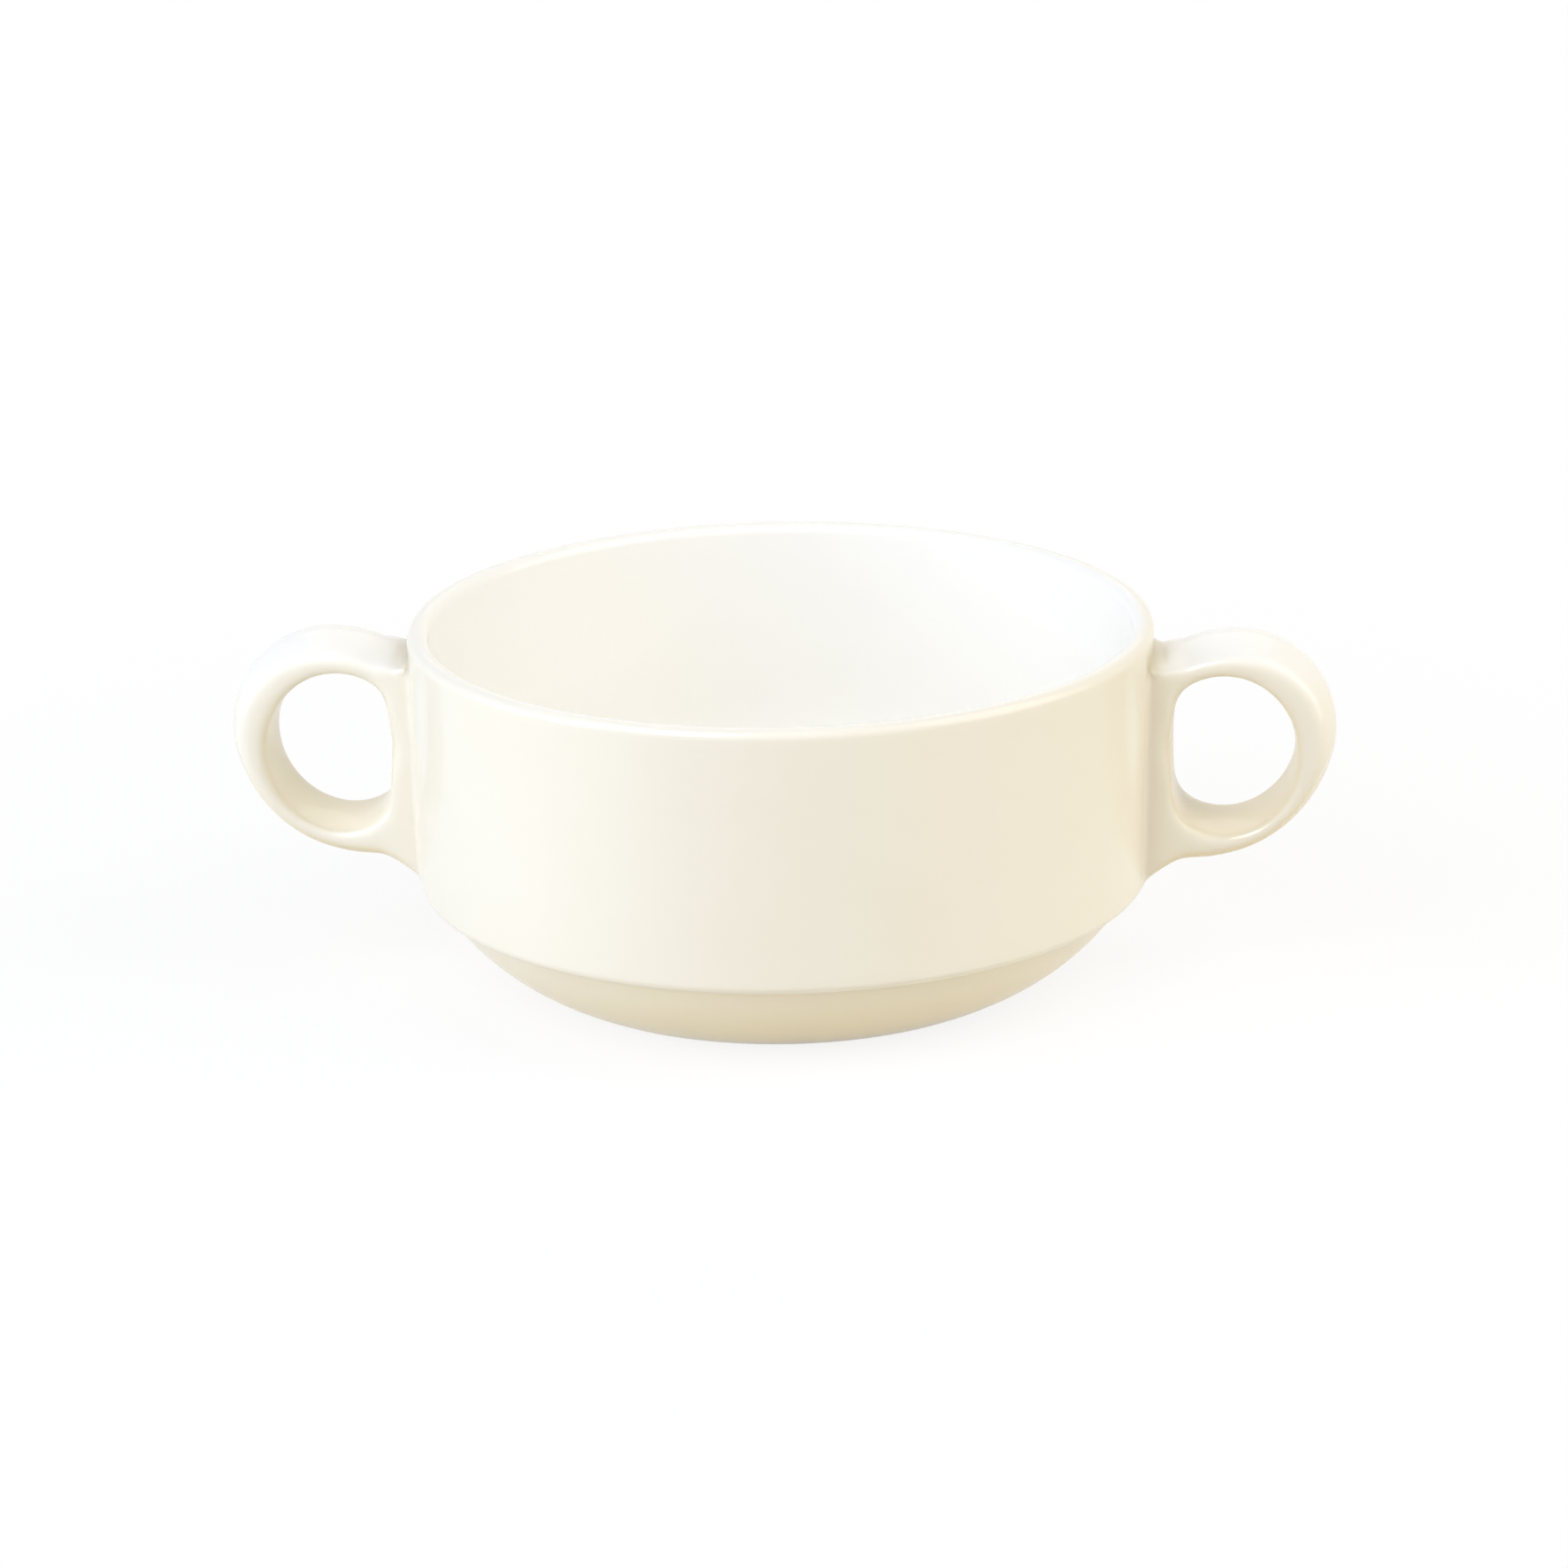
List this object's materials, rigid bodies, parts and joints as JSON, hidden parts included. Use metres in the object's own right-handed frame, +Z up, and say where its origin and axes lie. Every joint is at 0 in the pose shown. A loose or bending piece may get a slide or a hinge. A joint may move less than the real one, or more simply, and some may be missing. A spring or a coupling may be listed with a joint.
{
  "type": "bouillon cup",
  "caption": "Low, wide, straight-sided stacking soup cup with a flat loop handle on opposite sides and a narrower curved foot under a ledge.",
  "frame": {"origin": "centre of the base ring, on the plane the cup stands on", "axes": "+Z up through the mouth, +X from the centre through the middle of one handle; the other handle lies along -X"},
  "size_m": [0.1564, 0.105, 0.0507],
  "materials": {
    "glazed_body": "glossy ivory glaze all over, with a bare matt band on the base ring"
  },
  "bodies": {
    "root": {"cup": "glazed_body"}
  },
  "joints": []
}
